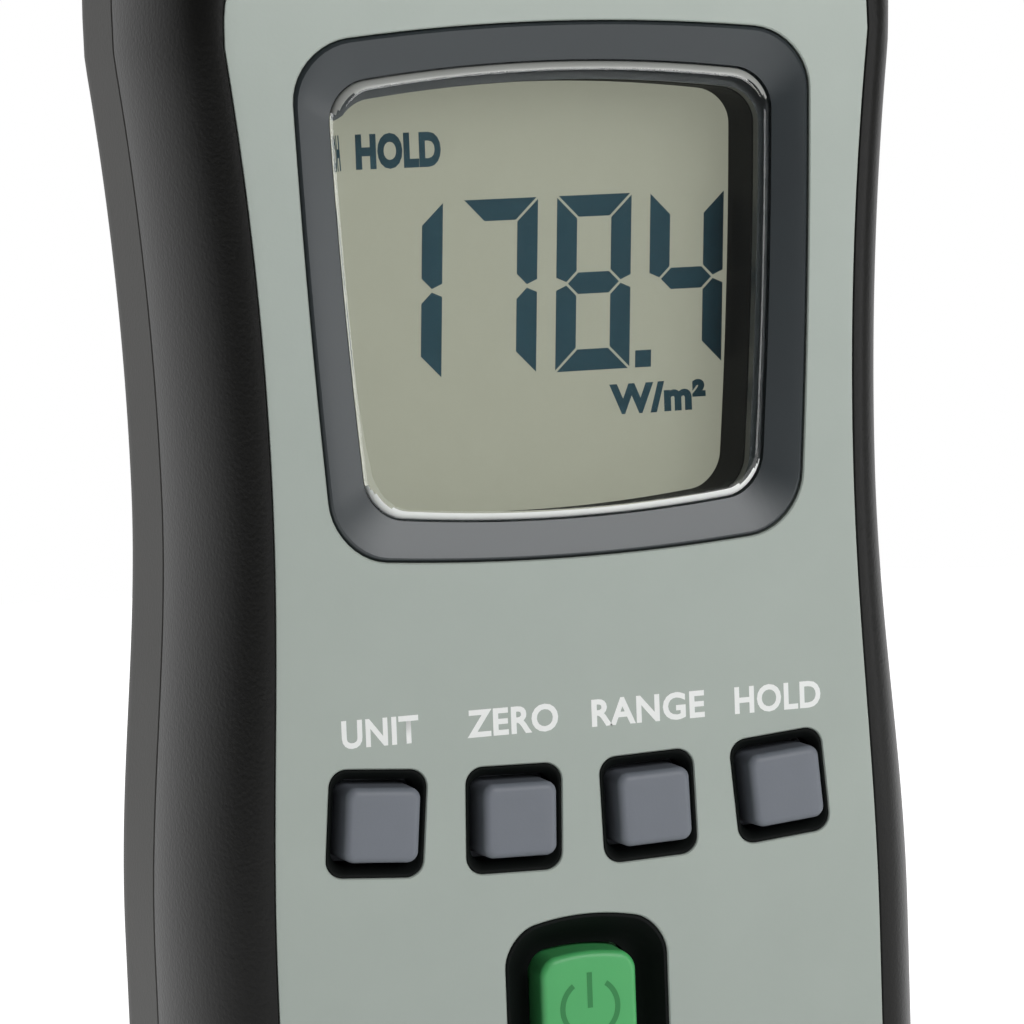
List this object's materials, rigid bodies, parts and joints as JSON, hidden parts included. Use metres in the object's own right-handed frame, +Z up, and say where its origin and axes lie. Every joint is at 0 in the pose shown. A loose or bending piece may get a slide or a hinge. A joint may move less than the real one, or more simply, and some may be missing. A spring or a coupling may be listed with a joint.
{
  "type": "irradiance meter",
  "caption": "Handheld irradiance meter: waisted two-shell case, silver face, deep-set display, key row with a power key, domed sensor on the head, tilting battery cover on the back.",
  "frame": {"origin": "middle of the foot, at the centre of the bounding box in X and Y", "axes": "+X to the right as the display is read, +Z up from the foot to the sensor, the face looks along -Y"},
  "size_m": [0.064, 0.034, 0.111],
  "materials": {
    "shell_plastic": "fine spark texture",
    "face_lacquer": "satin silver lacquer",
    "bezel_lacquer": "semi-gloss dark grey lacquer",
    "clear_plastic": "polished clear acrylic",
    "black_plastic": "matte black",
    "lcd_glass": "grey reflective liquid crystal glass",
    "strip_rubber": "striped silicone",
    "board_laminate": "solder mask over glass laminate",
    "chip_epoxy": "moulded epoxy with tinned leads",
    "key_rubber": "satin grey",
    "power_rubber": "satin green",
    "stem_plastic": "natural white",
    "cell_jacket": "printed sleeve over steel",
    "plated_steel": "nickel plated",
    "opal_plastic": "opal white",
    "brass": "turned"
  },
  "bodies": {
    "case": {"front_shell": "shell_plastic", "back_shell": "shell_plastic", "face_panel": "face_lacquer", "display_bezel": "bezel_lacquer", "display_lens": "clear_plastic", "lcd_frame": "black_plastic", "lcd_glass": "lcd_glass", "contact_strips": "strip_rubber", "circuit_board": "board_laminate", "processor_chip": "chip_epoxy", "board_parts": "chip_epoxy", "tact_switches": "black_plastic", "battery_cells": "cell_jacket", "battery_springs": "plated_steel", "battery_plates": "plated_steel", "sensor_holder": "black_plastic", "sensor_diffuser": "opal_plastic", "photodiode": "plated_steel", "sensor_board": "board_laminate", "sensor_header": "black_plastic", "tripod_insert": "brass", "case_screws": "plated_steel", "board_screws": "plated_steel"},
    "unit_key": {"unit_key": "key_rubber", "unit_stem": "stem_plastic"},
    "zero_key": {"zero_key": "key_rubber", "zero_stem": "stem_plastic"},
    "range_key": {"range_key": "key_rubber", "range_stem": "stem_plastic"},
    "hold_key": {"hold_key": "key_rubber", "hold_stem": "stem_plastic"},
    "power_key": {"power_key": "power_rubber", "power_stem": "stem_plastic"},
    "battery_cover": {"battery_cover": "shell_plastic"}
  },
  "joints": [
    {"name": "unit_key_push", "type": "slide", "parent": "case", "child": "unit_key", "axis": [0, 1, 0], "range_m": [0, 0.0005], "stiffness_N_per_m": 800},
    {"name": "zero_key_push", "type": "slide", "parent": "case", "child": "zero_key", "axis": [0, 1, 0], "range_m": [0, 0.0005], "stiffness_N_per_m": 800},
    {"name": "range_key_push", "type": "slide", "parent": "case", "child": "range_key", "axis": [0, 1, 0], "range_m": [0, 0.0005], "stiffness_N_per_m": 800},
    {"name": "hold_key_push", "type": "slide", "parent": "case", "child": "hold_key", "axis": [0, 1, 0], "range_m": [0, 0.0005], "stiffness_N_per_m": 800},
    {"name": "power_key_push", "type": "slide", "parent": "case", "child": "power_key", "axis": [0, 1, 0], "range_m": [0, 0.0005], "stiffness_N_per_m": 800},
    {"name": "battery_cover_tilt", "type": "hinge", "parent": "case", "child": "battery_cover", "pos_m": [0, 0.017, 0.0078], "axis": [-1, 0, 0], "range_deg": [0, 50]}
  ]
}
